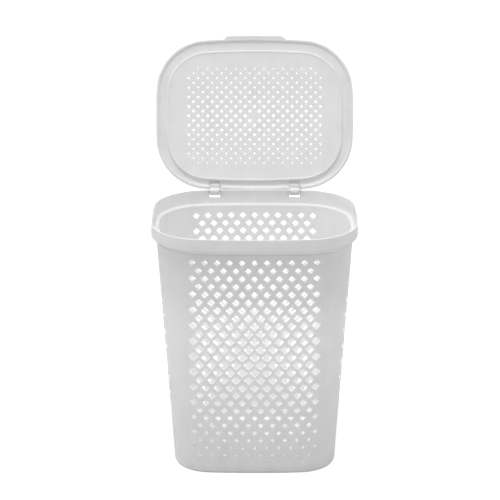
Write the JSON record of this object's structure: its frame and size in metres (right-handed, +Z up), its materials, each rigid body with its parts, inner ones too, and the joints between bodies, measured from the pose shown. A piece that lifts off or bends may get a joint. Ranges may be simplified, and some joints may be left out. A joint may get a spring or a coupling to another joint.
{
  "type": "laundry hamper",
  "caption": "Tapered laundry hamper in perforated white plastic with a stepped collar, hand-holds and a hinged perforated lid standing open.",
  "frame": {"origin": "middle of the base, on the floor", "axes": "+Z up, +X to the hamper's right as seen from the front, -Y to the front, where the lid's finger tab closes"},
  "size_m": [0.432, 0.4675, 0.8475],
  "materials": {
    "basket_plastic": "moulded white polypropylene, satin",
    "lid_plastic": "moulded white polypropylene, satin",
    "hinge_plastic": "moulded white plastic, satin"
  },
  "bodies": {
    "basket": {"basket_body": "basket_plastic", "hinge_pin_left": "hinge_plastic", "hinge_pin_right": "hinge_plastic"},
    "lid": {"lid": "lid_plastic", "hinge_clip_left": "hinge_plastic", "hinge_clip_right": "hinge_plastic"}
  },
  "joints": [
    {"name": "lid_hinge", "type": "hinge", "parent": "basket", "child": "lid", "pos_m": [0, 0.1695, 0.53], "axis": [1, 0, 0], "range_deg": [0, 111]}
  ]
}
